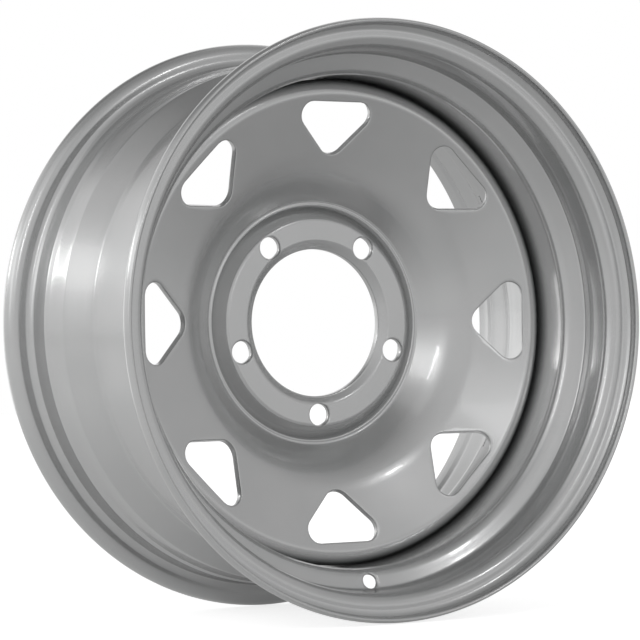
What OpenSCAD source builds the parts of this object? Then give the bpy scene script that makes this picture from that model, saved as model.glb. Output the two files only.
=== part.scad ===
// Steel wheel for an off-road car: a rolled rim hoop, a stamped disc and the welds between them.
// The wheel stands upright and turns about Y. The outboard face looks towards -Y, and the origin
// is the wheel's centre, in the middle of the rim's width. Sizes are in millimetres and degrees.

/* [Rim hoop] */
// Diameter of the tyre's bead seat, where the seat line meets the flange
bead_seat_d = 405.6; // [395:0.1:420]
// Width between the two flange walls, on the tyre side
rim_width = 177.8; // [165:0.1:205]
// Thickness of the rolled sheet
rim_sheet = 3; // [2.5:0.1:4]
// Height of the flanges above the bead seat
flange_height = 17.3; // [15:0.1:20]
// Radius of the flange's outward curl, on the tyre side
flange_curl = 9.5; // [8:0.1:11]
// Angle by which the lip turns in again past the top of the curl
lip_turn = 24; // [15:1:60]
// Straight length at the end of the lip
lip_length = 0.6; // [0.2:0.1:3]
// Radius of the corner between flange and bead seat, on the tyre side
bead_fillet = 6.5; // [4:0.1:8]
// Slope of the bead seats
bead_taper = 5; // [3:0.5:8]
// Distance from the flange wall to the middle of the safety hump
hump_setback = 21.5; // [20:0.1:23]
// Height of the safety hump above the seat line
hump_height = 1.3; // [0.6:0.1:2]
// Half the width of the safety hump at its foot
hump_half_width = 5; // [4:0.1:6]
// Radius of the hump's crest, on the tyre side
hump_round = 6; // [5:0.1:8]
// Depth of the drop well's floor below the bead seat, on the tyre side
well_depth = 16.8; // [14:0.1:20]
// Distance from the rim's middle forward to the foot of the front well wall
well_front = 54; // [48:0.5:56]
// Distance from the rim's middle back to the foot of the rear well wall
well_rear = 19.5; // [16:0.5:30]
// Axial run of the steep front well wall
front_wall_run = 5.5; // [3:0.5:6.5]
// Axial run of the gentle rear well wall
rear_wall_run = 22.5; // [15:0.5:26]
// Radius of the corners at the top of the well walls, on the tyre side
wall_top_round = 6; // [4.5:0.1:7]
// Radius of the corners at the foot of the well walls, on the tyre side
wall_foot_round = 7; // [4:0.1:8]
// Diameter of the valve hole
valve_hole_d = 11.5; // [8:0.1:13]

/* [Disc] */
// Distance from the rim's middle back to the face that bolts against the hub
mount_inset = 20; // [10:0.5:30]
// Thickness of the stamped sheet
disc_sheet = 5; // [4:0.1:6.5]
// Distance from the bolt circle in to the edge of the hub bore
bore_margin = 13.85; // [12:0.05:16]
// Height of the bolt crown above the contact land
crown_lift = 6; // [3:0.1:8]
// Distance from the bolt circle in to where the crown turns down to the bore
crown_inside = 7.85; // [6:0.05:9]
// Distance from the bolt circle out to where the crown turns down to the contact land
crown_outside = 7.15; // [6:0.05:9]
// Slope of the sheet from the crown down to the bore
bore_turn = 33.7; // [10:0.1:40]
// Radial run of the crown's flank down to the contact land
flank_run = 8; // [7:0.1:10]
// Radial width of the contact land, measured on the front between its two turns
land_width = 12.5; // [11:0.1:15]
// Radial run of the steep dish from the contact land up to the window face
dish_run = 20.5; // [18:0.1:24]
// Height of the dish's upper turn above the contact land
dish_rise = 24.8; // [18:0.1:28]
// Slope of the face that holds the windows
face_slope = 17.2; // [10:0.1:20]
// Radius of the concave turn from the land into the dish, on the front
dish_foot_round = 15; // [10:0.5:17]
// Radius of the convex turn from the dish to the window face, on the front
dish_break_round = 40; // [25:0.5:50]
// Radius of the crown's edges, on the front
crown_round = 6; // [5.5:0.1:8]
// Radius of the sharp valley beside the crown, on the front
valley_round = 3; // [1:0.1:4]
// Radius of the outer shoulder, on the front
shoulder_round = 10; // [7:0.1:14]
// Distance from the mounting face forward to the rear edge of the skirt
skirt_end = 12; // [10:0.1:20]
// Clearance between the skirt and the well that holds it
skirt_clearance = 0.3; // [0.1:0.05:0.6]

/* [Holes in the disc] */
// Number of windows
window_count = 8; // [6:1:9]
// Distance from the skirt's outside in to the windows' outer edge
window_margin = 17.5; // [15:0.1:28]
// Length of the windows along the radius, from inner tip to outer edge
window_length = 38.8; // [32:0.1:44]
// Width of the windows at their outer corners
window_width = 59.8; // [46:0.1:66]
// Corner radius of the windows' inner tip
window_tip_round = 12; // [6:0.1:14]
// Corner radius of the windows' outer corners
window_corner_round = 9.8; // [5:0.1:12]
// Number of wheel bolts
bolt_count = 5; // [4:1:6]
// Diameter of the circle on which the bolt holes lie
bolt_circle_d = 139.7; // [136:0.1:142]
// Diameter of the bolt holes
bolt_hole_d = 16.5; // [12:0.1:17.5]
// Diameter of the nuts' conical seats at the front
bolt_seat_d = 20; // [18:0.1:21]
// Full angle of the conical seats
bolt_seat_angle = 60; // [50:1:90]

/* [Welds] */
// Number of weld beads round the skirt
weld_count = 8; // [4:1:12]
// Angle that each bead covers
weld_angle = 24; // [10:1:28]
// Leg of the fillet weld
weld_leg = 5; // [3:0.1:6]
// Height of the weld's rounded face above the straight line between its toes
weld_bulge = 0.9; // [0.2:0.1:1.5]
// Clearance between a bead and the well floor
weld_clearance = 0.2; // [0.1:0.05:0.4]

/* [Hidden] */
// Flats round each turned face and each round hole, and the widest step of an arc in an outline
turn_flats = 72;
hole_flats = 24;
arc_step = 15;
// Straight steps across the weld's rounded face
weld_steps = 5;
// Margin by which cutters run past the sheet
cut_margin = 1;
// Direction of the bottom of the wheel, where one bolt, one window and the valve hole line up
bottom = 270;

half_width = rim_width / 2;
bead_r = bead_seat_d / 2;
flange_r = bead_r + flange_height;
well_r = bead_r - well_depth;
well_inner_r = well_r - rim_sheet;
skirt_r = well_inner_r - skirt_clearance;
front_wall_top = well_front + front_wall_run;
rear_wall_top = well_rear + rear_wall_run;
lip_corner = half_width + flange_curl * (1 + tan(lip_turn / 2));
lip_reach = flange_curl * tan(lip_turn / 2) + lip_length;
bolt_r = bolt_circle_d / 2;
bore_r = bolt_r - bore_margin;
crown_inner_r = bolt_r - crown_inside;
crown_outer_r = bolt_r + crown_outside;
land_inner_r = crown_outer_r + flank_run;
land_outer_r = land_inner_r + land_width;
dish_break_r = land_outer_r + dish_run;
window_outer_r = skirt_r - window_margin;
window_inner_r = window_outer_r - window_length;
crown_z = disc_sheet + crown_lift;
face_z = disc_sheet + dish_rise;
shoulder_z = face_z + (skirt_r - dish_break_r) * tan(face_slope);

// Radius of the seat line at a distance from the rim's middle
function seat_r(away) = bead_r - (half_width - away) * tan(bead_taper);

function unit(v) = v / norm(v);
// Normal that lies to the right of a direction in the plane of an outline
function right_of(v) = [v[1], -v[0]];
function is_left_turn(a, b) = a[0] * b[1] - a[1] * b[0] > 0;

// One rounded corner of a sheet's outline, moved to the right by depth. The corner is
// [x, y, radius], and the arc's radius grows or shrinks with the side that the sheet lies on.
function corner(before, at, after, depth) =
  let (
    from = unit([at[0] - before[0], at[1] - before[1]]),
    to = unit([after[0] - at[0], after[1] - at[1]]),
    turn = acos(max(-1, min(1, from * to))),
    side = is_left_turn(from, to) ? 1 : -1,
    reach = at[2] * tan(turn / 2),
    start = [at[0], at[1]] - from * reach,
    centre = start - side * right_of(from) * at[2],
    spoke = side * right_of(from) * (at[2] + side * depth),
    steps = max(1, ceil(turn / arc_step))
  )
  [for (i = [0:steps]) let (a = side * turn * i / steps)
    centre + [spoke[0] * cos(a) - spoke[1] * sin(a), spoke[0] * sin(a) + spoke[1] * cos(a)]];

// An end of the outline, square to its first or last stretch
function end_point(at, along, depth) = [[at[0], at[1]] + right_of(along) * depth];

// One side of a bent sheet: ends and rounded corners in order, moved to the right by depth
function sheet_side(path, depth) =
  let (
    last = len(path) - 1,
    first_way = unit([path[1][0] - path[0][0], path[1][1] - path[0][1]]),
    last_way = unit([path[last][0] - path[last - 1][0], path[last][1] - path[last - 1][1]])
  )
  concat(
    end_point(path[0], first_way, depth),
    [for (i = [1:last - 1]) each corner(path[i - 1], path[i], path[i + 1], depth)],
    end_point(path[last], last_way, depth)
  );

function reversed(points) = [for (i = [len(points) - 1:-1:0]) points[i]];

// A sheet of even thickness whose one side follows the path, with the metal to its right
module sheet(path, thickness) {
  polygon(concat(sheet_side(path, 0), reversed(sheet_side(path, thickness))));
}

// Turns a piece that was drawn facing +Z, from a plane behind the rim's middle, towards -Y
module face_front(setback) {
  rotate([90, 0, 0])
    translate([0, 0, -setback])
      children();
}

// Tyre side of one half of the rim from its lip to the hump's crest, as [radius, forward, round]
function lip_end(way) =
  [flange_r - lip_reach * sin(lip_turn), way * (lip_corner + lip_reach * cos(lip_turn)), 0];
function rim_edge(way) = [
  lip_end(way),
  [flange_r, way * lip_corner, flange_curl],
  [flange_r, way * half_width, flange_curl],
  [bead_r, way * half_width, bead_fillet],
  [
    seat_r(half_width - hump_setback + hump_half_width),
    way * (half_width - hump_setback + hump_half_width),
    hump_round
  ],
  [
    seat_r(half_width - hump_setback) + hump_height,
    way * (half_width - hump_setback),
    hump_round
  ]
];
// Both walls of the drop well and the ledge that runs back from it to the rear hump
rim_well = [
  [seat_r(front_wall_top), front_wall_top, wall_top_round],
  [well_r, well_front, wall_foot_round],
  [well_r, -well_rear, wall_foot_round],
  [seat_r(rear_wall_top), -rear_wall_top, wall_top_round],
  [
    seat_r(half_width - hump_setback - hump_half_width),
    -(half_width - hump_setback - hump_half_width),
    hump_round
  ]
];
rim_path = concat(rim_edge(1), rim_well, reversed(rim_edge(-1)));

// Middle of the front well wall on the tyre side, and the lean of the wall from the radius
wall_rise = seat_r(front_wall_top) - well_r;
wall_lean = atan(front_wall_run / wall_rise);
valve_r = (seat_r(front_wall_top) + well_r) / 2;
valve_z = (front_wall_top + well_front) / 2;

// Straight through the front well wall, square to it
module valve_bore() {
  rotate(bottom)
    translate([valve_r, 0, valve_z])
      rotate([0, -wall_lean, 0])
        cylinder(d = valve_hole_d, h = 2 * (rim_sheet + wall_foot_round), center = true, $fn = hole_flats);
}

// Rolled and butt-welded hoop, with the valve hole at the bottom
module rim() {
  color("silver")
    face_front(0)
      difference() {
        rotate_extrude($fn = turn_flats) sheet(rim_path, rim_sheet);
        valve_bore();
      }
}

// Front of the disc from inside the bore, which is punched later, to the rear edge of the skirt
start_r = bore_r - disc_sheet;
disc_path = [
  [start_r, crown_z - (crown_inner_r - start_r) * tan(bore_turn), 0],
  [crown_inner_r, crown_z, crown_round],
  [crown_outer_r, crown_z, crown_round],
  [land_inner_r, disc_sheet, valley_round],
  [land_outer_r, disc_sheet, dish_foot_round],
  [dish_break_r, face_z, dish_break_round],
  [skirt_r, shoulder_z, shoulder_round],
  [skirt_r, skirt_end, 0]
];

// Triangle with rounded corners, tip towards the hub, as three arcs
window_tip = window_inner_r + window_tip_round;
window_corner = [window_outer_r - window_corner_round, window_width / 2 - window_corner_round];
window_side = [window_corner[0] - window_tip, window_corner[1]];
window_bearing = atan2(window_side[1], window_side[0])
  + acos((window_tip_round - window_corner_round) / norm(window_side));
function arc(centre, radius, from, to) =
  let (steps = ceil(abs(to - from) / arc_step))
  [for (i = [0:steps]) let (a = from + (to - from) * i / steps)
    centre + radius * [cos(a), sin(a)]];
window_outline = concat(
  arc([window_tip, 0], window_tip_round, 360 - window_bearing, window_bearing),
  arc(window_corner, window_corner_round, window_bearing, 0),
  arc([window_corner[0], -window_corner[1]], window_corner_round, 0, -window_bearing)
);

module window_punch() {
  linear_extrude(shoulder_z + cut_margin) polygon(window_outline);
}

// Hole with a conical nut seat that opens to the front of the crown
module bolt_punch() {
  seat_depth = (bolt_seat_d - bolt_hole_d) / 2 / tan(bolt_seat_angle / 2);
  seat_top_d = bolt_seat_d + 2 * cut_margin * tan(bolt_seat_angle / 2);
  translate([bolt_r, 0, 0]) {
    cylinder(d = bolt_hole_d, h = crown_z + cut_margin, $fn = hole_flats);
    translate([0, 0, crown_z - seat_depth])
      cylinder(d1 = bolt_hole_d, d2 = seat_top_d, h = seat_depth + cut_margin, $fn = hole_flats);
  }
}

// Cuts the crown's inner flank to a straight bore
module bore_punch() {
  translate([0, 0, -disc_sheet])
    cylinder(r = bore_r, h = crown_z + disc_sheet + cut_margin, $fn = turn_flats);
}

// Stamped disc with its bolt crown, dish, windows and welding skirt
module disc() {
  color("silver")
    face_front(mount_inset)
      difference() {
        rotate_extrude($fn = turn_flats) sheet(disc_path, disc_sheet);
        bore_punch();
        for (i = [0:window_count - 1]) rotate(bottom + i * 360 / window_count) window_punch();
        for (i = [0:bolt_count - 1]) rotate(bottom + i * 360 / bolt_count) bolt_punch();
      }
}

// Fillet weld behind the skirt: its toe on the skirt, its toe on the well floor, and a face that
// swells between them as a parabola
weld_floor_r = well_inner_r - weld_clearance;
skirt_toe = [skirt_r - weld_leg, skirt_end];
floor_toe = [weld_floor_r, skirt_end - weld_leg];
weld_out = right_of(unit(floor_toe - skirt_toe));
weld_section = concat(
  [[weld_floor_r, skirt_end]],
  [for (i = [0:weld_steps]) let (t = i / weld_steps)
    skirt_toe + (floor_toe - skirt_toe) * t + weld_out * 4 * weld_bulge * t * (1 - t)]
);

// Beads in the corner between the skirt's rear edge and the well floor, behind the webs
module weld_beads() {
  color("silver")
    face_front(mount_inset)
      for (i = [0:weld_count - 1])
        rotate(bottom + (i + 0.5) * 360 / weld_count - weld_angle / 2)
          rotate_extrude(angle = weld_angle, $fn = turn_flats) polygon(weld_section);
}

rim();
disc();
weld_beads();
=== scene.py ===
import math

import bmesh
import bpy
import numpy as np
from mathutils import Matrix, Vector


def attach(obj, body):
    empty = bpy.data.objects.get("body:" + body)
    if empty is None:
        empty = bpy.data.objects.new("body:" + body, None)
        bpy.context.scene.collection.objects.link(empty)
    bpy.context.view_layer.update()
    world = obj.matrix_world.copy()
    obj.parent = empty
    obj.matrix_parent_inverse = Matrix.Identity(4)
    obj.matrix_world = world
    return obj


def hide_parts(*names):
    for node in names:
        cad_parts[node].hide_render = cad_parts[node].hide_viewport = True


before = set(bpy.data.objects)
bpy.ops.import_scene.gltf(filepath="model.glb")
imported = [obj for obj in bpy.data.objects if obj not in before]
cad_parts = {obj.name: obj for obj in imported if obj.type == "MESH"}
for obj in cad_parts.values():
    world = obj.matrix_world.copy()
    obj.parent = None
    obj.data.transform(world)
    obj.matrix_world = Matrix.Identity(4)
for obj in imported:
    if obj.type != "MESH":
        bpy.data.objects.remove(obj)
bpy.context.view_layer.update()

print("frame loaded:", ", ".join(sorted(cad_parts)))

mm = 0.001
fullTurn = 2 * np.pi
bottom = 1.5 * np.pi  # angle of the wheel's lowest point
leastSteps = 3  # points of the shortest bend
mergeGap = 2e-6  # metres within which two points are one
sharpDeg = 55  # edges that bend more than this stay sharp
ringCrowding = 0.8  # below 1, rings stand closer together towards a hole's edge
scene = bpy.context.scene


# Shapes shared by the pieces. Lengths are in mm until the mesh is made; a point is (radius, angle, forward),
# and forward runs from the middle of the rim's width towards the outboard side, which is -Y.

# Side of a bent sheet. Corners are (radius, forward, round): each becomes an arc tangent to both stretches,
# whose centre lies one round inside the corner. depth moves the side to the right of the path, through
# the sheet.
def bentSide(path, depth, stepDeg):
    p = np.array(path, float)
    way = np.diff(p[:, :2], axis=0)
    way /= np.linalg.norm(way, axis=1)[:, None]
    right = np.stack([way[:, 1], -way[:, 0]], 1)
    side = [p[:1, :2] + right[:1] * depth]
    for i in range(1, len(p) - 1):
        a, b, bend = way[i - 1], way[i], p[i, 2]
        turn = math.atan2(a[0] * b[1] - a[1] * b[0], a @ b)  # left turns count as positive
        hand = math.copysign(1.0, turn)
        centre = p[i, :2] - a * bend * math.tan(abs(turn) / 2) - hand * right[i - 1] * bend
        spoke = hand * right[i - 1] * (bend + hand * depth)
        steps = max(leastSteps, math.ceil(math.degrees(abs(turn)) / stepDeg) + 1)
        t = turn * np.linspace(0, 1, steps)
        side.append(centre + np.stack([spoke[0] * np.cos(t) - spoke[1] * np.sin(t),
                                       spoke[0] * np.sin(t) + spoke[1] * np.cos(t)], 1))
    side.append(p[-1:, :2] + right[-1:] * depth)
    return np.concatenate(side)


# Row numbers that cut every stretch longer than gap into equal shorter ones; whole numbers are the side's
# own points
def rowsWithin(side, gap):
    cuts = np.maximum(1, np.ceil(np.linalg.norm(np.diff(side, axis=0), axis=1) / gap)).astype(int)
    start = np.repeat(np.arange(len(cuts)), cuts)
    share = np.arange(cuts.sum()) - np.repeat(np.cumsum(cuts) - cuts, cuts)
    return np.append(start + share / np.repeat(cuts, cuts), len(cuts))


# Points of a side at row numbers, on straight lines between its own points
def atRows(side, rows):
    n = np.arange(len(side))
    return np.stack([np.interp(rows, n, side[:, 0]), np.interp(rows, n, side[:, 1])], -1)


# Cylinder to frame: x = radius cos(angle), z = radius sin(angle), y = -forward
def toFrame(radius, angle, forward):
    radius, angle, forward = np.broadcast_arrays(radius, angle, forward)
    return np.stack([radius * np.cos(angle), -forward, radius * np.sin(angle)], -1)


# Section swept round the axis: every section point at every angle
def turned(section, angles):
    return toFrame(section[:, 0][:, None], angles[None, :], section[:, 1][:, None])


# Quads between neighbours of a grid; a closed grid also joins its last column to its first
def gridQuads(rows, cols, closed, keep=None):
    i, j = np.meshgrid(np.arange(rows - 1), np.arange(cols if closed else cols - 1), indexing="ij")
    if keep is not None:
        i, j = i[keep], j[keep]
    k = (j + 1) % cols
    return np.stack([i * cols + j, i * cols + k, (i + 1) * cols + k, (i + 1) * cols + j], -1).reshape(-1, 4)


# One closed mesh from several grids: equal points are merged and the faces turned outwards
def meshFromGrids(name, grids):
    points, quads, total = [], [], 0
    for grid, closed, keep in grids:
        quads.append(gridQuads(grid.shape[0], grid.shape[1], closed, keep) + total)
        points.append(grid.reshape(-1, 3))
        total += points[-1].shape[0]
    mesh = bpy.data.meshes.new(name)
    mesh.from_pydata(np.concatenate(points) * mm, [], np.concatenate(quads).tolist())
    bm = bmesh.new()
    bm.from_mesh(mesh)
    bmesh.ops.remove_doubles(bm, verts=bm.verts, dist=mergeGap)
    loose = [v for v in bm.verts if not v.link_faces]
    bmesh.ops.delete(bm, geom=loose, context="VERTS")
    bmesh.ops.recalc_face_normals(bm, faces=bm.faces)
    openEdges = sum(1 for e in bm.edges if len(e.link_faces) != 2)
    bm.to_mesh(mesh)
    bm.free()
    mesh.shade_smooth()
    mesh.set_sharp_from_angle(angle=math.radians(sharpDeg))
    obj = bpy.data.objects.new(name, mesh)
    scene.collection.objects.link(obj)
    print(f"{name}: {len(mesh.polygons)} faces, {openEdges} open edges")
    return obj


# Loop of (row, column) round the border of a gap, starting at its low corner
def borderLoop(row0, row1, col0, col1):
    r, c = np.arange(row0, row1 + 1), np.arange(col0, col1 + 1)
    return np.concatenate([np.stack([np.full(len(c) - 1, row0), c[:-1]], 1),
                           np.stack([r[:-1], np.full(len(r) - 1, col1)], 1),
                           np.stack([np.full(len(c) - 1, row1), c[:0:-1]], 1),
                           np.stack([r[:0:-1], np.full(len(r) - 1, col0)], 1)])


# Rings from a border to a hole's edge: at share t a point is t parts edge and 1 - t parts border
def ringsBetween(border, edge, count):
    t = (np.linspace(0, 1, count) ** ringCrowding)[:, None, None]
    return border[None] * (1 - t) + edge[None] * t


# Rim hoop: a rolled sheet with curled flanges, tapered bead seats, humps and a drop well
rimSizes = {
    "seatRadius": 202.8, "halfWidth": 88.9, "sheet": 3.0, "flangeHeight": 17.3, "curl": 9.5,
    "lipTurn": 24.0, "lipLength": 0.6, "filletRound": 6.5, "taper": 5.0,
    "humpSetback": 21.5, "humpHeight": 1.3, "humpHalf": 5.0, "humpRound": 6.0,
    "wellRadius": 186.0, "wellFront": 54.0, "wellRear": 19.5, "frontRun": 5.5, "rearRun": 22.5,
    "topRound": 6.0, "footRound": 7.0, "edgeSwell": 0.7, "edgeSteps": 9,
    "valveRadius": 5.75, "valveEdge": 0.7, "valveRings": 5, "valveSearch": 400,
    "valveZone": 11.5, "valveHalf": 3,  # patch round the valve hole: mm along the wall, columns to each side
    "columns": 288, "stepDeg": 7.5, "rowGap": 5.0,
}


# The path is the tyre side of the section, from the front lip to the rear one. A seat narrows away from its
# flange: radius = seat radius - distance from the flange x tan(taper).
def makeRim(s):
    taper = math.tan(math.radians(s["taper"]))
    lipTurn, half = math.radians(s["lipTurn"]), s["halfWidth"]
    lipTan = math.tan(lipTurn / 2)
    flange = s["seatRadius"] + s["flangeHeight"]

    def seat(away):  # away from the middle of the width
        return s["seatRadius"] - (half - away) * taper

    lipCorner = half + s["curl"] * (1 + lipTan)
    reach = s["curl"] * lipTan + s["lipLength"]
    lip = (flange - reach * math.sin(lipTurn), lipCorner + reach * math.cos(lipTurn))
    hump = half - s["humpSetback"]
    humpStart, humpEnd = hump + s["humpHalf"], hump - s["humpHalf"]

    def edge(way):  # lip, curl, flange wall, seat and hump of one side
        return [(lip[0], way * lip[1], 0),
                (flange, way * lipCorner, s["curl"]),
                (flange, way * half, s["curl"]),
                (s["seatRadius"], way * half, s["filletRound"]),
                (seat(humpStart), way * humpStart, s["humpRound"]),
                (seat(hump) + s["humpHeight"], way * hump, s["humpRound"])]

    frontTop, rearTop = s["wellFront"] + s["frontRun"], s["wellRear"] + s["rearRun"]
    well = [(seat(frontTop), frontTop, s["topRound"]),
            (s["wellRadius"], s["wellFront"], s["footRound"]),
            (s["wellRadius"], -s["wellRear"], s["footRound"]),
            (seat(rearTop), -rearTop, s["topRound"]),
            (seat(humpEnd), -humpEnd, s["humpRound"])]
    path = edge(1) + well + edge(-1)[::-1]
    tyreSide, innerSide = bentSide(path, 0, s["stepDeg"]), bentSide(path, s["sheet"], s["stepDeg"])
    rows = rowsWithin(tyreSide, s["rowGap"])
    sides = [atRows(tyreSide, rows), atRows(innerSide, rows)]
    angles = np.arange(s["columns"]) * fullTurn / s["columns"]

    # Rolled edge of a lip: half an ellipse from one side of the sheet to the other
    def rolled(p, q, way):
        t = np.linspace(0, np.pi, s["edgeSteps"])[:, None]
        middle, arm = (p + q) / 2, (p - q) / 2
        return middle + arm * np.cos(t) + way * s["edgeSwell"] * np.linalg.norm(arm) * np.sin(t)

    def outward(side):  # the way in which the sheet ends
        d = side[0] - side[1]
        return d / np.linalg.norm(d)

    frontEdge = rolled(sides[0][0], sides[1][0], outward(sides[0]))
    rearEdge = rolled(sides[0][-1], sides[1][-1], outward(sides[0][::-1]))

    # Valve hole at the bottom, square through the front well wall. Across the hole's axis a point is
    # (sideways, along the wall); the row where the wall reaches it comes from the section's own distances
    # along the wall.
    wallTop, wallFoot = np.array([seat(frontTop), frontTop]), np.array([s["wellRadius"], s["wellFront"]])
    along = (wallTop - wallFoot) / np.linalg.norm(wallTop - wallFoot)
    middle = (wallTop + wallFoot) / 2
    distance = (sides[0] - middle) @ along
    nearWall = np.linalg.norm(sides[0] - middle, axis=1)
    low, high = np.flatnonzero(nearWall < s["valveZone"])[[0, -1]]
    bottomCol = s["columns"] * 3 // 4
    firstCol, lastCol = bottomCol - s["valveHalf"], bottomCol + s["valveHalf"]
    loop = borderLoop(low, high, firstCol, lastCol)
    border = np.stack([loop[:, 0].astype(float), angles[loop[:, 1]]], 1)
    sideways = (border[:, 1] - bottom) * middle[0]
    bearing = np.arctan2(distance[loop[:, 0]], sideways)

    def ringOn(side, radius):  # where a circle round the hole's axis lies on that side of the sheet
        across, up = radius * np.cos(bearing), radius * np.sin(bearing)
        span = np.linspace(low, high, s["valveSearch"])
        line = atRows(sides[side], span)
        outOf = np.sqrt(line[:, 0] ** 2 - across[:, None] ** 2) - middle[0]
        reached = outOf * along[0] + (line[:, 1] - middle[1]) * along[1]
        row = span[np.argmax(reached < up[:, None], axis=1)]  # rows run down the wall
        return np.stack([row, bottom + np.arcsin(across / atRows(sides[side], row)[:, 0])], 1)

    def place(side, rowAngle):
        section = atRows(sides[side], rowAngle[..., 0])
        return toFrame(section[..., 0], rowAngle[..., 1], section[..., 1])

    mouth = s["valveRadius"] + s["valveEdge"]
    axis = np.array([0.0, -along[0], along[1]])  # through the wall towards the outboard side
    tyreRings = place(0, ringsBetween(border, ringOn(0, mouth), s["valveRings"]))
    innerRings = place(1, ringsBetween(border, ringOn(1, mouth), s["valveRings"]))
    tyreNeck = place(0, ringOn(0, s["valveRadius"])) + axis * s["valveEdge"]
    innerNeck = place(1, ringOn(1, s["valveRadius"])) - axis * s["valveEdge"]
    valve = np.concatenate([tyreRings, tyreNeck[None], innerNeck[None], innerRings[::-1]])

    keep = np.ones((len(rows) - 1, s["columns"]), bool)
    keep[low:high, firstCol:lastCol] = False
    grids = [(turned(sides[0], angles), True, keep), (turned(sides[1], angles), True, keep),
             (turned(frontEdge, angles), True, None), (turned(rearEdge, angles), True, None),
             (valve, True, None)]
    return meshFromGrids("rim_hoop", grids)


# Disc: one stamping from the bore over bolt crown, groove, dish and window face to the skirt.
# Heights run forward from the hub's face, which lies an inset behind the middle of the rim.
discSizes = {
    "inset": 20.0, "sheet": 5.0,
    "boreRadius": 56.0, "boreTurn": 33.7, "boreEdge": 0.9, "boreSteps": 6,
    "crownFront": 11.0, "crownInner": 62.0, "crownOuter": 77.0, "crownRound": 6.0,
    "crownEdge": (79.0, 4.0), "grooveFloor": (87.6, 0.9),  # radius and round, radius and forward
    "bead": (89.1, 5.6, 1.3), "dishFoot": (92.1, 4.8, 2.6),  # radius, forward, round
    "dishRise": (104.0, 17.4, 60.0), "dishBreak": (116.0, 29.2, 54.0),
    "landInner": 85.0, "landOuter": 97.5, "valleyRound": 3.0, "footRound": 15.0,
    "breakRadius": 118.0, "breakFront": 29.8, "breakRound": 40.0, "faceSlope": 17.2, "faceEnd": 171.0,
    "shoulderRound": 10.0, "skirtRadius": 182.7, "skirtEnd": 12.0, "skirtEdge": 0.8,
    "bolts": 5, "boltRadius": 69.85, "boltHole": 8.25, "boltSeat": 9.2, "seatSlope": 30.0, "boltEdge": 0.6,
    "seatLeast": 0.3, "seatTries": 6, "coneRings": (0.04, 0.5, 1.0),  # shares of the way down the cone
    "windows": 8, "windowMiddle": 149.0, "windowTip": 138.4, "tipRound": 12.0,
    "windowCorner": (155.4, 20.1), "cornerRound": 9.8, "windowEdge": 1.0, "windowBack": 0.8,
    "edgeSteps": 5, "arcPoints": 90, "outlineGap": 0.4,
    "columns": 280, "stepDeg": 5.0, "fineDeg": 1.0, "rowGap": 3.2, "rowFine": 0.3, "holeRings": 9,
    "wrapFiner": 1.5, "wrapStart": 0.4, "wrapGap": 6.0,
    "boltZone": (57.4, 82.6), "boltHalf": 10,  # patch round a hole: its radii, and columns to each side
    "windowZone": (121.0, 168.6), "windowHalf": 14,
}


# Rounded triangle of a window, grown by a distance: three arcs and the straight lines that touch them.
# Given the bearings of rays from the window's middle, it returns where each ray leaves the outline.
def windowEdge(s, grow, bearing):
    middle, tip, corner = s["windowMiddle"], np.array([s["windowTip"], 0.0]), np.array(s["windowCorner"])
    side = corner - tip
    narrowing = (s["tipRound"] - s["cornerRound"]) / np.linalg.norm(side)
    lean = math.atan2(side[1], side[0]) + math.acos(narrowing)

    def arc(centre, radius, start, end):
        a = np.linspace(start, end, s["arcPoints"])
        return centre + (radius + grow) * np.stack([np.cos(a), np.sin(a)], 1)

    line = np.concatenate([arc(corner, s["cornerRound"], 0, lean),
                           arc(tip, s["tipRound"], lean, fullTurn - lean),
                           arc(corner * [1, -1], s["cornerRound"], -lean, 0),
                           corner[None] + [[s["cornerRound"] + grow, 0]]])
    line = atRows(line, rowsWithin(line, s["outlineGap"]))[:-1]
    around = np.unwrap(np.arctan2(line[:, 1], line[:, 0] - middle))
    far = np.hypot(line[:, 0] - middle, line[:, 1])
    ray = np.mod(bearing - around[0], fullTurn) + around[0]
    reach = np.interp(ray, np.append(around, around[0] + fullTurn), np.append(far, far[0]))
    return np.stack([middle + reach * np.cos(bearing), reach * np.sin(bearing)], 1)


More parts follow.
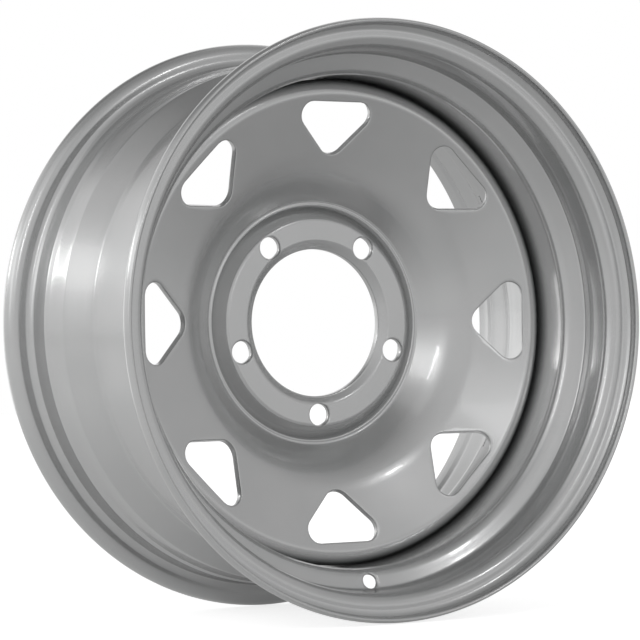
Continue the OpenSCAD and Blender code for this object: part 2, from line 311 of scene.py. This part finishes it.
# Front and back are heights over a radius, turned about the axis, with a patch of rings round each hole.
# The face rises evenly: shoulder height = break height + (skirt radius - break radius) x tan(slope).
def makeDisc(s):
    boreSlope = math.tan(math.radians(s["boreTurn"]))
    faceSlope = math.radians(s["faceSlope"])
    start = s["boreRadius"] - s["sheet"]
    shoulder = s["breakFront"] + (s["skirtRadius"] - s["breakRadius"]) * math.tan(faceSlope)
    hub = [(start, s["crownFront"] - (s["crownInner"] - start) * boreSlope, 0),
           (s["crownInner"], s["crownFront"], s["crownRound"])]
    # in front the crown's flank runs down into a sharp groove, and a small bead beyond it is where the dish
    # starts; the back of the sheet lies flat on the hub there
    groove = [(s["crownEdge"][0], s["crownFront"], s["crownEdge"][1]), (*s["grooveFloor"], 0),
              s["bead"], s["dishFoot"], s["dishRise"], s["dishBreak"]]
    valley = [(s["crownOuter"], s["crownFront"], s["crownRound"]),
              (s["landInner"], s["sheet"], s["valleyRound"]),
              (s["landOuter"], s["sheet"], s["footRound"]),
              (s["breakRadius"], s["breakFront"], s["breakRound"])]
    skirt = [(s["skirtRadius"], shoulder, s["shoulderRound"]), (s["skirtRadius"], s["skirtEnd"], 0)]
    paths, depths = [hub + groove + skirt, hub + valley + skirt], [0, s["sheet"]]
    fine = [bentSide(p, d, s["fineDeg"]) - [0, s["inset"]] for p, d in zip(paths, depths)]
    coarse = [bentSide(p, d, s["stepDeg"]) for p, d in zip(paths, depths)]
    angles = np.arange(s["columns"]) * fullTurn / s["columns"]

    def forward(side, radius):  # height of the front (0) or back (1) over a radius inside the shoulder
        line = fine[side][: np.argmax(fine[side][:, 0] > s["faceEnd"]) + 1]
        return np.interp(radius, line[:, 0], line[:, 1])

    # Rows by radius, close together where either side bends
    zoneEnd = s["windowZone"][1]
    ends = np.array([*s["boltZone"], *s["windowZone"], s["boreRadius"] + s["boreEdge"]])
    bends = np.unique(np.round(np.concatenate([c[:, 0] for c in coarse]) / s["rowFine"]) * s["rowFine"])
    free = abs(bends[:, None] - ends).min(1) > s["rowFine"]
    bends = bends[(bends > ends.min()) & (bends < zoneEnd) & free]
    marks = np.sort(np.concatenate([bends, ends]))
    steps = rowsWithin(np.stack([marks, marks * 0], 1), s["rowGap"])
    radii = atRows(np.stack([marks, marks], 1), steps)[:, 0]
    row = {k: [int(np.argmin(abs(radii - r))) for r in s[k]] for k in ("boltZone", "windowZone")}

    keep = np.ones((len(radii) - 1, s["columns"]), bool)
    grids = []
    bottomCol, colTurn = s["columns"] * 3 // 4, fullTurn / s["columns"]

    def radiusOf(edge):
        return np.hypot(edge[:, 0], edge[:, 1])

    def angleOf(edge):
        return np.arctan2(edge[:, 1], edge[:, 0])

    # A hole's rings: from the border in the front, over the edge, through the sheet, and out to the border
    # in the back. Edges are flat points (outwards, sideways) as seen along the axis.
    def holePatch(zone, centreCol, halfCols, frontEdge, through, backEdge):
        low, high = row[zone]
        loop = borderLoop(low, high, centreCol - halfCols, centreCol + halfCols)
        keep[low:high, np.arange(centreCol - halfCols, centreCol + halfCols) % s["columns"]] = False
        border = np.stack([radii[loop[:, 0]], (loop[:, 1] - centreCol) * colTurn], 1)
        flat = np.stack([border[:, 0] * np.cos(border[:, 1]), border[:, 0] * np.sin(border[:, 1])], 1)

        def sheetRings(side, edge):
            rings = ringsBetween(border, np.stack([radiusOf(edge), angleOf(edge)], 1), s["holeRings"])
            return toFrame(rings[..., 0], rings[..., 1] + centreCol * colTurn, forward(side, rings[..., 0]))

        def ring(edge, height):
            return toFrame(radiusOf(edge), angleOf(edge) + centreCol * colTurn, height)[None]

        inner = [ring(edge, height) for edge, height in through(flat)]
        parts = [sheetRings(0, frontEdge(flat))] + inner + [sheetRings(1, backEdge(flat))[::-1]]
        grids.append((np.concatenate(parts), True, None))

    # Windows are punched square to the sloping face, so the back edge lies further out than the front one:
    # shift = sheet x sin(slope). Both edges roll over by a quarter circle.
    quarter = np.linspace(0, np.pi / 2, s["edgeSteps"])[1:]
    backShift = np.array([s["sheet"] * math.sin(faceSlope), 0.0])

    def windowRing(flat, grow):
        return windowEdge(s, grow, np.arctan2(flat[:, 1], flat[:, 0] - s["windowMiddle"]))

    def windowFront(flat):
        return windowRing(flat, s["windowEdge"])

    def windowRear(flat):
        return windowRing(flat, s["windowBack"]) + backShift

    def windowWall(flat):
        e, b = s["windowEdge"], s["windowBack"]
        front = [(windowRing(flat, e * (1 - math.sin(a))), e * (1 - math.cos(a)), 0) for a in quarter]
        back = [(windowRing(flat, b * (1 - math.sin(a))) + backShift, -b * (1 - math.cos(a)), 1)
                for a in quarter[::-1]]
        return [(ring, forward(k, radiusOf(ring)) - drop) for ring, drop, k in front + back]

    for i in range(s["windows"]):
        centreCol = bottomCol + s["columns"] // s["windows"] * i
        holePatch("windowZone", centreCol, s["windowHalf"], windowFront, windowWall, windowRear)

    # Bolt holes: a cone for the nut sinks from the crown to the hole. On the crown's flanks the cone is cut
    # lower, so its mouth is where cone and sheet meet, found in steps:
    # mouth = hole + (sheet height - cone's foot) x tan(slope)
    tanSeat = math.tan(math.radians(s["seatSlope"]))
    coneFoot = s["crownFront"] - s["inset"] - (s["boltSeat"] - s["boltHole"]) / tanSeat

    def circle(flat, radius):
        a = np.arctan2(flat[:, 1], flat[:, 0] - s["boltRadius"])
        return np.stack([s["boltRadius"] + radius * np.cos(a), radius * np.sin(a)], 1)

    def seatRadius(flat):
        mouth = np.full(len(flat), s["boltSeat"])
        for step in range(s["seatTries"]):
            rise = forward(0, radiusOf(circle(flat, mouth))) - coneFoot
            mouth = s["boltHole"] + np.maximum(s["seatLeast"], rise * tanSeat)
        return mouth

    def boltFront(flat):
        return circle(flat, seatRadius(flat) + s["boltEdge"])

    def boltRear(flat):
        return circle(flat, s["boltHole"] + s["boltEdge"])

    def boltWall(flat):
        mouth = seatRadius(flat)
        rings = []
        for t in s["coneRings"]:
            edge = circle(flat, mouth + (s["boltHole"] - mouth) * t)
            rings.append((edge, coneFoot + (mouth - s["boltHole"]) * (1 - t) / tanSeat))
        neck = circle(flat, s["boltHole"])
        rings.append((neck, forward(1, radiusOf(neck)) + s["boltEdge"]))
        return rings

    for i in range(s["bolts"]):
        centreCol = bottomCol + s["columns"] // s["bolts"] * i
        holePatch("boltZone", centreCol, s["boltHalf"], boltFront, boltWall, boltRear)

    # Bore: a straight wall with both edges rolled over
    edge, bore = s["boreEdge"], s["boreRadius"]
    lift = [forward(0, bore + edge), forward(1, bore + edge)]
    arc = np.linspace(0, np.pi / 2, s["boreSteps"])
    boreFront = np.stack([bore + edge * (1 - np.sin(arc)), lift[0] - edge * (1 - np.cos(arc))], 1)
    boreBack = np.stack([bore + edge * (1 - np.sin(arc)), lift[1] + edge * (1 - np.cos(arc))], 1)
    boreWall = np.concatenate([boreFront, boreBack[::-1]])

    # Shoulder and skirt: both sides from the window zone to the skirt's rear edge, which is rolled over
    def outside(side):
        line = bentSide(paths[side], depths[side], s["stepDeg"] / s["wrapFiner"]) - [0, s["inset"]]
        rest = line[np.argmax(line[:, 0] > zoneEnd + s["wrapStart"]):]
        return np.concatenate([[[zoneEnd, forward(side, zoneEnd)]], rest])

    front, back, e = outside(0), outside(1), s["skirtEdge"]
    front[-1, 1] += e
    back[-1, 1] += e
    end = s["skirtEnd"] - s["inset"] + e * (1 - np.sin(arc))
    outerRoll = np.stack([s["skirtRadius"] - e * (1 - np.cos(arc)), end], 1)
    innerRoll = np.stack([s["skirtRadius"] - s["sheet"] + e * (1 - np.cos(arc)), end], 1)
    rear = np.concatenate([outerRoll, innerRoll[::-1]])
    wrap = np.concatenate([front, rear[1:-1], back[::-1]])
    wrap = atRows(wrap, rowsWithin(wrap, s["wrapGap"]))

    sides = [np.stack([radii, forward(k, radii)], 1) for k in (0, 1)]
    grids += [(turned(sides[0], angles), True, keep), (turned(sides[1], angles), True, keep),
              (turned(boreWall, angles), True, None), (turned(wrap, angles), True, None)]
    return meshFromGrids("stamped_disc", grids)


# Weld beads: fillets in the corner behind the skirt, laid in overlapping drops. The section is a quarter
# round fan from the corner; its size swells with each drop, and falls off in a half ellipse at both ends of
# the bead.
weldSizes = {
    "count": 8, "spanDeg": 24.0, "leg": 5.0, "bulge": 0.9,
    "floorRadius": 182.8, "skirtRadius": 182.7, "corner": -8.0,
    "dropLength": 2.4, "ripple": 0.13, "dropLean": 1.05, "dropSwell": 1.8,
    "endTaper": 3.5, "endLeast": 0.02, "columns": 200, "fan": 9,
}


def makeWelds(s):
    grids = []
    half = math.radians(s["spanDeg"]) / 2
    along = np.linspace(-half, half, s["columns"])
    arc = along * s["floorRadius"]
    fromEnd = np.clip((half * s["floorRadius"] - abs(arc)) / s["endTaper"], 0, 1)
    taper = np.sqrt(np.maximum(1 - (1 - fromEnd) ** 2, s["endLeast"]))
    drop = np.mod(arc, s["dropLength"]) / s["dropLength"]
    hill = np.sqrt(np.clip(drop * (s["dropLean"] - drop) * s["dropSwell"], 0, 1))
    swell = taper * (1 - s["ripple"] + s["ripple"] * 2 * hill)
    t = np.linspace(0, 1, s["fan"])
    skirtToe = np.array([s["skirtRadius"] - s["leg"], s["corner"]])
    floorToe = np.array([s["floorRadius"], s["corner"] - s["leg"]])
    corner = np.array([s["floorRadius"], s["corner"]])
    out = np.array([-1.0, -1.0]) / math.sqrt(2)
    # straight from toe to toe, bulging by 4 t (1 - t), which is 1 in the middle
    face = skirtToe + (floorToe - skirtToe) * t[:, None] + out * 4 * s["bulge"] * (t * (1 - t))[:, None]
    section = np.concatenate([corner[None], face, corner[None]])
    shape = corner + (section - corner)[:, None, :] * swell[None, :, None]
    for i in range(s["count"]):
        angle = along + bottom + (i + 0.5) * fullTurn / s["count"]
        body = toFrame(shape[..., 0], angle[None, :], shape[..., 1])
        grids.append((body, False, None))
        for k in (0, -1):  # ends closed by a fan from the corner
            ring = body[:, k]
            grids.append((np.stack([ring, np.repeat(ring[:1], len(ring), 0)]), False, None))
    return meshFromGrids("weld_fillets", grids)


rimHoop, stampedDisc, weldFillets = makeRim(rimSizes), makeDisc(discSizes), makeWelds(weldSizes)
for piece, nodeName in ((rimHoop, "rim"), (stampedDisc, "disc"), (weldFillets, "weld_beads")):
    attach(piece, "root")
    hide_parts(nodeName)
print("pieces placed")


# sRGB hex to linear: c / 12.92 near black, and ((c + 0.055) / 1.055) to the power 2.4 above
def linear(hexColour):
    c = np.array([int(hexColour[i:i + 2], 16) for i in (1, 3, 5)]) / 255
    return (*np.where(c <= 0.04045, c / 12.92, ((c + 0.055) / 1.055) ** 2.4), 1.0)


# One node: settings are attributes or input values, links go to its inputs
def addNode(tree, kind, settings=None, links=None):
    node = tree.nodes.new(kind)
    for key, value in (settings or {}).items():
        if isinstance(key, str) and hasattr(node, key):
            setattr(node, key, value)
        else:
            node.inputs[key].default_value = value
    for key, socket in (links or {}).items():
        tree.links.new(socket, node.inputs[key])
    return node


# Silver enamel, sprayed and baked on pressed steel: fine aluminium flake under a clear skin, so the room
# shows as soft grey bands, with sharper glints on the tight bends and a faint orange peel in the highlights
enamel = {
    "base": "#bcbcbc", "shade": "#b4b5b5", "tintRange": (0.6, 1.4),
    "metallic": 0.85, "roughness": 0.25, "roughSpread": 0.015, "cloudRange": (0.3, 0.7),
    "coat": 0.9, "coatRoughness": 0.07,
    "cloudMm": 40.0, "flakeMm": 0.9, "peelMm": 2.2, "peelHeight": 0.005, "peelStrength": 0.5,
    # colour and place of two zones, painted shade in the crevice and painted light on the well floor:
    # radius, then axial place, each as start, full from, full to, end in mm
    # painted shade: darker grey in the crevice between the disc's shoulder and the rim's well
    "creviceShade": ("#a3a4a4", (177.0, 181.0, 184.2, 185.0), (-28.0, -25.0, -14.0, -6.0)),
    # painted light: lighter grey on the well floor in front of the crevice, lifting its shade
    "wellFloorLight": ("#d2d2d2", (181.5, 182.6, 185.5, 187.0), (-56.0, -50.0, -33.0, -27.0)),
}


def makeEnamel(e):
    material = bpy.data.materials.new("silverBakedEnamel")
    material.use_nodes = True
    tree = material.node_tree
    tree.nodes.clear()
    place = addNode(tree, "ShaderNodeTexCoord").outputs["Object"]
    cloud = addNode(tree, "ShaderNodeTexNoise", {"Scale": 1000 / e["cloudMm"], "Detail": 2.0},
                    {"Vector": place})
    # flake is drawn some twenty times coarser than the real one, to show at all
    flake = addNode(tree, "ShaderNodeTexNoise", {"Scale": 1000 / e["flakeMm"], "Detail": 1.0},
                    {"Vector": place})
    both = addNode(tree, "ShaderNodeMath", {"operation": "ADD"},
                   {0: flake.outputs["Fac"], 1: cloud.outputs["Fac"]})
    share = addNode(tree, "ShaderNodeMapRange",
                    {"From Min": e["tintRange"][0], "From Max": e["tintRange"][1]},
                    {"Value": both.outputs[0]})
    tint = addNode(tree, "ShaderNodeMix", {"data_type": "RGBA", 6: linear(e["shade"]), 7: linear(e["base"])},
                   {0: share.outputs["Result"]})
    across = addNode(tree, "ShaderNodeVectorMath", {"operation": "MULTIPLY", 1: (1, 0, 1)}, {0: place})
    length = addNode(tree, "ShaderNodeVectorMath", {"operation": "LENGTH"}, {0: across.outputs["Vector"]})
    radius = length.outputs["Value"]
    axial = addNode(tree, "ShaderNodeSeparateXYZ", links={"Vector": place}).outputs["Y"]

    def between(value, lowEnd, low, high, highEnd):  # 1 from low to high, fading to 0 at both ends
        up = addNode(tree, "ShaderNodeMapRange",
                     {"interpolation_type": "SMOOTHSTEP", "From Min": lowEnd * mm, "From Max": low * mm},
                     {"Value": value})
        down = addNode(tree, "ShaderNodeMapRange",
                       {"interpolation_type": "SMOOTHSTEP", "From Min": high * mm, "From Max": highEnd * mm,
                        "To Min": 1.0, "To Max": 0.0}, {"Value": value})
        return addNode(tree, "ShaderNodeMath", {"operation": "MULTIPLY"},
                       {0: up.outputs["Result"], 1: down.outputs["Result"]}).outputs[0]

    def paintedZone(under, colour, radial, along):  # a colour laid over another within a ring
        mask = addNode(tree, "ShaderNodeMath", {"operation": "MULTIPLY"},
                       {0: between(radius, *radial), 1: between(axial, *along)})
        return addNode(tree, "ShaderNodeMix", {"data_type": "RGBA", 7: linear(colour)},
                       {0: mask.outputs[0], 6: under.outputs[2]})

    # painted shade: a darker grey in the corner between shoulder and well, where shade falls; painted light:
    # a lighter grey on the well floor in front of it, lifting the shade there
    withCreviceShade = paintedZone(tint, *e["creviceShade"])
    paint = paintedZone(withCreviceShade, *e["wellFloorLight"])
    gloss = addNode(tree, "ShaderNodeMapRange",
                    {"From Min": e["cloudRange"][0], "From Max": e["cloudRange"][1],
                     "To Min": e["roughness"] - e["roughSpread"],
                     "To Max": e["roughness"] + e["roughSpread"]},
                    {"Value": cloud.outputs["Fac"]})
    peel = addNode(tree, "ShaderNodeTexNoise", {"Scale": 1000 / e["peelMm"], "Detail": 1.0},
                   {"Vector": place})
    bump = addNode(tree, "ShaderNodeBump", {"Strength": e["peelStrength"], "Distance": e["peelHeight"] * mm},
                   {"Height": peel.outputs["Fac"]})
    shader = addNode(tree, "ShaderNodeBsdfPrincipled",
                     {"Metallic": e["metallic"], "Coat Weight": e["coat"],
                      "Coat Roughness": e["coatRoughness"]},
                     {"Base Color": paint.outputs[2], "Roughness": gloss.outputs["Result"],
                      "Normal": bump.outputs["Normal"]})
    addNode(tree, "ShaderNodeOutputMaterial", links={"Surface": shader.outputs["BSDF"]})
    return material


silverEnamel = makeEnamel(enamel)
for piece in (rimHoop, stampedDisc, weldFillets):
    piece.data.materials.clear()
    piece.data.materials.append(silverEnamel)
print("enamel applied")


# Stage: a white floor that keeps the shadow, and a white room. The camera sees plain white. In reflections
# the room is brightest at the height of the lamps, to the left and behind; it falls off to the right,
# overhead and below, and is dark high up behind.
stageSizes = {
    "floorHeight": -0.2206, "floorSize": 14.0,
    "floorColour": "#cfcfcf", "floorRoughness": 0.9, "floorGlow": 0.75,
    "floorMirror": 0.4, "floorFade": 0.5,  # level in reflections at the left, and metres over which it fades
    "floorLift": (0.6, 2.0),  # metres in front over which the floor's mirror image brightens to the horizon
    "roomLevel": ((-90, 0.45), (-40, 0.5), (-10, 0.72), (4, 0.84),  # rise in degrees, level
                  (15, 0.87), (30, 0.8), (50, 0.6), (90, 0.35)),
    "brightTurn": -115.0, "leftGain": 1.15, "rightGain": 0.72, "rearRise": 51.0, "rearGain": 0.42,
    "leftRange": (0.25, 0.75), "rightRange": (-1.0, -0.2), "rearRange": (0.88, 0.97),  # cosines to that side
}


def makeFloor(s):
    h, z = s["floorSize"] / 2, s["floorHeight"]
    mesh = bpy.data.meshes.new("floor")
    mesh.from_pydata([(-h, -h, z), (h, -h, z), (h, h, z), (-h, h, z)], [], [(0, 1, 2, 3)])
    floor = bpy.data.objects.new("floor", mesh)
    scene.collection.objects.link(floor)
    material = bpy.data.materials.new("paintedStudioFloor")
    material.use_nodes = True
    tree = material.node_tree
    tree.nodes.clear()
    path = addNode(tree, "ShaderNodeLightPath")
    plain = addNode(tree, "ShaderNodeMath", {"operation": "MAXIMUM"},
                    {0: path.outputs["Is Camera Ray"], 1: path.outputs["Is Transmission Ray"]})
    place = addNode(tree, "ShaderNodeTexCoord").outputs["Object"]
    across = addNode(tree, "ShaderNodeSeparateXYZ", links={"Vector": place})
    fade = addNode(tree, "ShaderNodeMapRange",
                   {"From Min": -s["floorFade"], "From Max": s["floorFade"],
                    "To Min": s["floorMirror"], "To Max": 0.0}, {"Value": across.outputs["X"]})
    lift = addNode(tree, "ShaderNodeMapRange",
                   {"From Min": -s["floorLift"][0], "From Max": -s["floorLift"][1],
                    "To Max": s["floorMirror"]}, {"Value": across.outputs["Y"]})
    sheen = addNode(tree, "ShaderNodeMath", {"operation": "MAXIMUM"},
                    {0: fade.outputs["Result"], 1: lift.outputs["Result"]})
    mirror = addNode(tree, "ShaderNodeMath", {"operation": "MULTIPLY"},
                     {0: path.outputs["Is Glossy Ray"], 1: sheen.outputs[0]})
    glow = addNode(tree, "ShaderNodeMath", {"operation": "MULTIPLY_ADD", 1: s["floorGlow"]},
                   {0: plain.outputs[0], 2: mirror.outputs[0]})
    shader = addNode(tree, "ShaderNodeBsdfPrincipled",
                     {"Base Color": linear(s["floorColour"]), "Roughness": s["floorRoughness"],
                      "Specular IOR Level": 0.0, "Emission Color": (1, 1, 1, 1)},
                     {"Emission Strength": glow.outputs[0]})
    addNode(tree, "ShaderNodeOutputMaterial", links={"Surface": shader.outputs["BSDF"]})
    mesh.materials.append(material)


# Room level = level at that rise x gain to the left x gain to the right x gain high up behind
def makeRoom(s):
    world = bpy.data.worlds.new("studio")
    scene.world = world
    world.use_nodes = True
    tree = world.node_tree
    tree.nodes.clear()
    way = addNode(tree, "ShaderNodeTexCoord").outputs["Generated"]  # in a world, the direction looked in
    height = addNode(tree, "ShaderNodeSeparateXYZ", links={"Vector": way})
    share = addNode(tree, "ShaderNodeMapRange", {"From Min": -1.0, "From Max": 1.0},
                    {"Value": height.outputs["Z"]})
    level = addNode(tree, "ShaderNodeValToRGB", links={"Fac": share.outputs["Result"]})
    stops = level.color_ramp.elements
    for n, (rise, value) in enumerate(s["roomLevel"]):
        at = (math.sin(math.radians(rise)) + 1) / 2
        stop = stops[n] if n < 2 else stops.new(at)  # a new ramp has two stops
        stop.position, stop.color = at, (value, value, value, 1)
    turn, rise = math.radians(s["brightTurn"]), math.radians(s["rearRise"])
    toBright = addNode(tree, "ShaderNodeVectorMath",
                       {"operation": "DOT_PRODUCT", 1: (math.sin(turn), -math.cos(turn), 0)}, {0: way})
    left = addNode(tree, "ShaderNodeMapRange",
                   {"interpolation_type": "SMOOTHSTEP", "From Min": s["leftRange"][0],
                    "From Max": s["leftRange"][1], "To Min": 1.0, "To Max": s["leftGain"]},
                   {"Value": toBright.outputs["Value"]})
    right = addNode(tree, "ShaderNodeMapRange",
                    {"From Min": s["rightRange"][0], "From Max": s["rightRange"][1],
                     "To Min": s["rightGain"], "To Max": 1.0}, {"Value": toBright.outputs["Value"]})
    gain = addNode(tree, "ShaderNodeMath", {"operation": "MULTIPLY"},
                   {0: left.outputs["Result"], 1: right.outputs["Result"]})
    toRear = addNode(tree, "ShaderNodeVectorMath",
                     {"operation": "DOT_PRODUCT", 1: (0, math.cos(rise), math.sin(rise))}, {0: way})
    rear = addNode(tree, "ShaderNodeMapRange",
                   {"interpolation_type": "SMOOTHSTEP", "From Min": s["rearRange"][0],
                    "From Max": s["rearRange"][1], "To Min": 1.0, "To Max": s["rearGain"]},
                   {"Value": toRear.outputs["Value"]})
    front = addNode(tree, "ShaderNodeMath", {"operation": "MULTIPLY"},
                    {0: level.outputs["Color"], 1: gain.outputs[0]})
    room = addNode(tree, "ShaderNodeMath", {"operation": "MULTIPLY"},
                   {0: front.outputs[0], 1: rear.outputs["Result"]})
    path = addNode(tree, "ShaderNodeLightPath")
    plain = addNode(tree, "ShaderNodeMath", {"operation": "MAXIMUM"},
                    {0: path.outputs["Is Camera Ray"], 1: path.outputs["Is Transmission Ray"]})
    # the camera gets plain white, light and reflections get the room
    seen = addNode(tree, "ShaderNodeMix", {3: 1.0}, {0: plain.outputs[0], 2: room.outputs[0]})
    light = addNode(tree, "ShaderNodeBackground", {"Color": (1, 1, 1, 1)}, {"Strength": seen.outputs[0]})
    addNode(tree, "ShaderNodeOutputWorld", links={"Surface": light.outputs["Background"]})


# Soft boxes by direction: turn is from straight ahead of the wheel towards its right, rise is above the
# horizon, both in degrees; lengths are in metres
softBoxes = {
    "backLeft": {"turn": -137, "rise": 16, "far": 2.6, "wide": 0.6, "high": 0.35, "watts": 1.9},
    "leftStrip": {"turn": -114, "rise": 20, "far": 2.6, "wide": 2.2, "high": 0.7, "watts": 3.0},
    "leftEdge": {"turn": -87, "rise": 18, "far": 2.6, "wide": 0.6, "high": 1.3, "watts": 1.3},
    "leftTube": {"turn": -54, "rise": 25, "far": 2.6, "wide": 0.04, "high": 0.9, "watts": 1.8},
    "back": {"turn": -158, "rise": 0, "far": 0.95, "wide": 0.3, "high": 0.5, "watts": 0.22},
    "leftWide": {"turn": -64, "rise": 32, "far": 2.6, "wide": 2.0, "high": 2.4, "watts": 3.2},
    "frontWide": {"turn": 34, "rise": 0, "far": 2.6, "wide": 2.2, "high": 0.8, "watts": 1.0},
    "frontHigh": {"turn": 20, "rise": 30, "far": 2.6, "wide": 0.16, "high": 0.2, "watts": 1.3},
    "front": {"turn": 10, "rise": 10, "far": 2.6, "wide": 0.3, "high": 0.34, "watts": 0.6},
}


def makeLamps(boxes):
    for name, b in boxes.items():
        lamp = bpy.data.lights.new(name, "AREA")
        lamp.shape, lamp.size, lamp.size_y, lamp.energy = "RECTANGLE", b["wide"], b["high"], b["watts"]
        obj = bpy.data.objects.new(name, lamp)
        scene.collection.objects.link(obj)
        t, r = math.radians(b["turn"]), math.radians(b["rise"])
        way = Vector((math.sin(t) * math.cos(r), -math.cos(t) * math.cos(r), math.sin(r)))
        obj.location = way * b["far"]
        obj.rotation_euler = (-way).to_track_quat("-Z", "Y").to_euler()


# Camera: left of the wheel's face and a little below its middle, with the lens of a long portrait shot
cameraSizes = {
    "turn": -30.875, "rise": -0.593, "roll": -0.908, "far": 2.18567, "aim": (0.0, 0.0134, 0.0),
    "lens": 161.56, "sensor": 36.0, "shift": (0.0070, 0.0041),
}


def makeCamera(c):
    a, e, roll = (math.radians(c[k]) for k in ("turn", "rise", "roll"))
    back = Vector((math.sin(a) * math.cos(e), -math.cos(a) * math.cos(e), math.sin(e)))
    right = Vector((math.cos(a), math.sin(a), 0))
    up = back.cross(right)
    across = math.cos(roll) * right + math.sin(roll) * up
    above = math.cos(roll) * up - math.sin(roll) * right
    camera = bpy.data.objects.new("camera", bpy.data.cameras.new("camera"))
    camera.data.lens, camera.data.sensor_width = c["lens"], c["sensor"]
    camera.data.shift_x, camera.data.shift_y = c["shift"]
    place = Vector(c["aim"]) + back * c["far"]
    rows = [[across[i], above[i], back[i], place[i]] for i in range(3)]
    camera.matrix_world = Matrix(rows + [[0, 0, 0, 1]])
    scene.collection.objects.link(camera)
    scene.camera = camera


makeFloor(stageSizes)
makeRoom(stageSizes)
makeLamps(softBoxes)
makeCamera(cameraSizes)
scene.view_settings.view_transform = "Standard"
print("stage, lamps and camera set")
